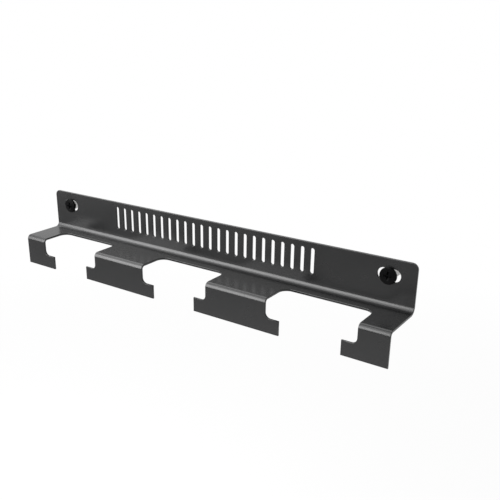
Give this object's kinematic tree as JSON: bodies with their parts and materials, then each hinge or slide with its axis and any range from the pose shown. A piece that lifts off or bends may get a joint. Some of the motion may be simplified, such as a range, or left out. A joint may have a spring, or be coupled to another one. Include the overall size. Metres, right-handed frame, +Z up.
{
  "type": "wall battery holder",
  "caption": "Wall rack for power tool batteries: bent steel plate, shelf and flange, with open bays between lips, on screws in slots.",
  "frame": {"origin": "on the wall, on the back face of the plate, halfway along the rack and level with the middles of the screw slots", "axes": "+X along the rack towards the widest bay, +Y into the wall, so -Y faces the room, +Z up"},
  "size_m": [0.3044, 0.0526, 0.0528],
  "materials": {
    "powder_coat": "satin black powder coat with a fine texture",
    "black_steel": "blackened steel, smooth",
    "nylon": "off-white nylon"
  },
  "bodies": {
    "fixings": {"left_wall_plug": "nylon", "right_wall_plug": "nylon"},
    "left_screw": {"left_screw": "black_steel"},
    "right_screw": {"right_screw": "black_steel"},
    "rack": {"rack": "powder_coat"}
  },
  "joints": [
    {"name": "left_screw_turn", "type": "hinge", "parent": "fixings", "child": "left_screw", "pos_m": [-0.135, -0.0018, -0.0002], "axis": [0, 1, 0], "continuous": true},
    {"name": "right_screw_turn", "type": "hinge", "parent": "fixings", "child": "right_screw", "pos_m": [0.135, -0.0018, -0.0002], "axis": [0, 1, 0], "continuous": true},
    {"name": "rack_shift", "type": "slide", "parent": "fixings", "child": "rack", "axis": [1, 0, 0], "range_m": [-0.005, 0.005]}
  ]
}
